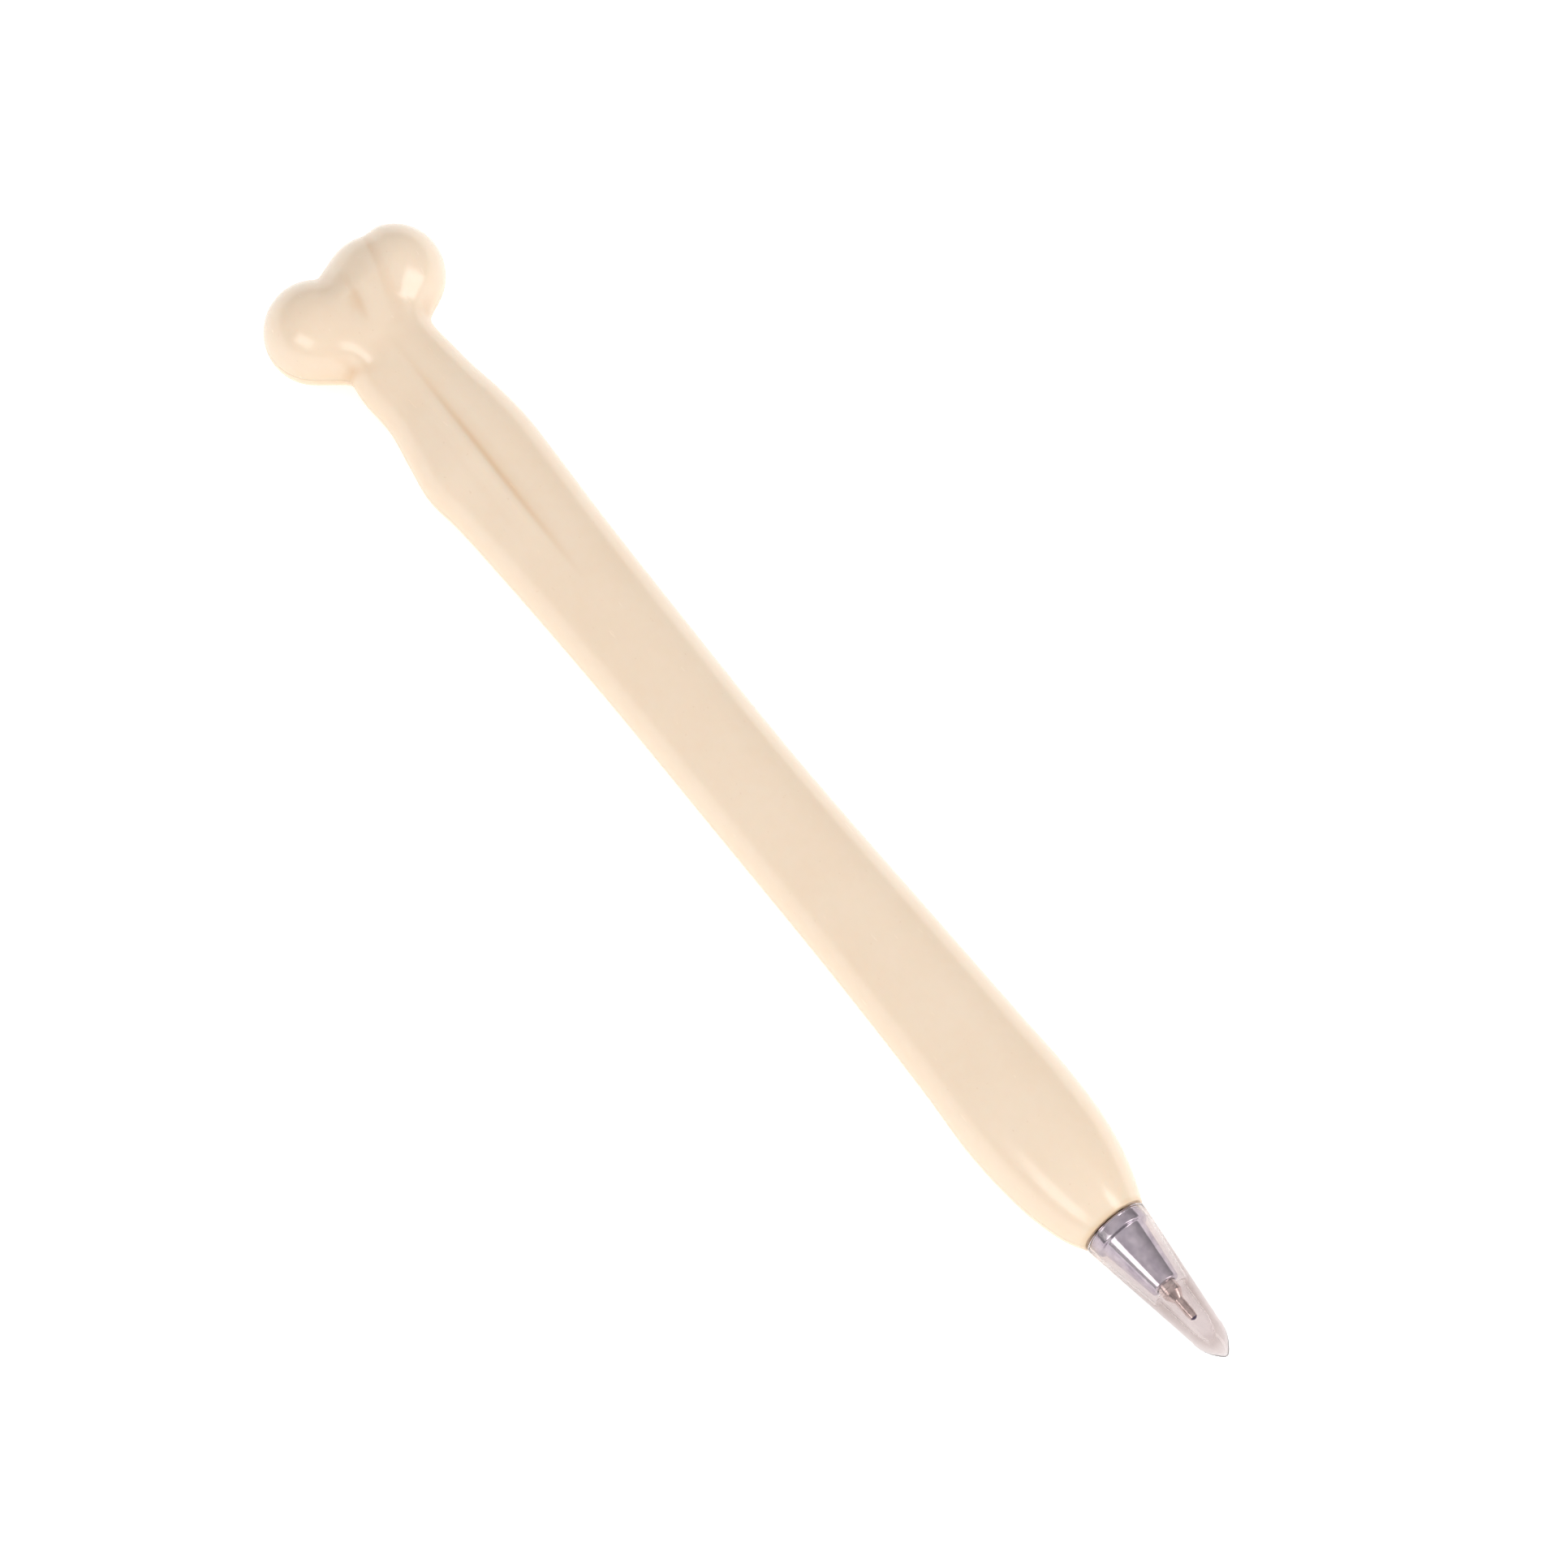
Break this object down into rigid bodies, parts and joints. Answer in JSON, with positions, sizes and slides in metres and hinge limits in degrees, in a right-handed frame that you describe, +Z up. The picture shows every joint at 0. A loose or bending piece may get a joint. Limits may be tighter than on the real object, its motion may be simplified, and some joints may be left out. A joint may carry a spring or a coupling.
{
  "type": "ballpoint pen",
  "caption": "Ballpoint pen shaped like a bone, with a hollow moulded barrel, a chromed nose cone that screws out, a plastic refill and a clear pull-off tip cap.",
  "frame": {"origin": "middle of the pen's length and width, on the surface that it lies on", "axes": "+X along the pen towards the writing tip, +Y across towards the larger knuckle, +Z up from the surface"},
  "size_m": [0.15, 0.0206, 0.012],
  "materials": {
    "bone_plastic": "glossy moulded, cream",
    "bush_brass": "turned",
    "nose_chrome": "bright chrome plate",
    "point_nickel": "turned nickel silver",
    "ball_carbide": "ground hard metal",
    "tube_plastic": "translucent extruded",
    "ink": "thick paste ink",
    "cap_plastic": "clear moulded"
  },
  "bodies": {
    "barrel": {"barrel_upper_shell": "bone_plastic", "barrel_lower_shell": "bone_plastic", "nose_bush": "bush_brass"},
    "refill": {"refill_point": "point_nickel", "ink_tube": "tube_plastic", "ink_column": "ink"},
    "ball": {"writing_ball": "ball_carbide"},
    "nose": {"nose_cone": "nose_chrome"},
    "cap": {"tip_cap": "cap_plastic"}
  },
  "joints": [
    {"name": "nose_advance", "type": "slide", "parent": "barrel", "child": "refill", "axis": [1, 0, 0], "range_m": [0, 0.005]},
    {"name": "nose_turn", "type": "hinge", "parent": "refill", "child": "nose", "pos_m": [0.058, -0.00326, 0.0059], "axis": [1, 0, 0], "range_deg": [0, 1800]},
    {"name": "cap_pull", "type": "slide", "parent": "nose", "child": "cap", "axis": [1, 0, 0], "range_m": [0, 0.025]},
    {"name": "ball_roll", "type": "hinge", "parent": "refill", "child": "ball", "pos_m": [0.06955, -0.00326, 0.0059], "axis": [0, 1, 0], "continuous": true}
  ],
  "couplings": [
    {"joint": "nose_turn", "follows": "nose_advance", "rad_per_m": 6283.2}
  ]
}
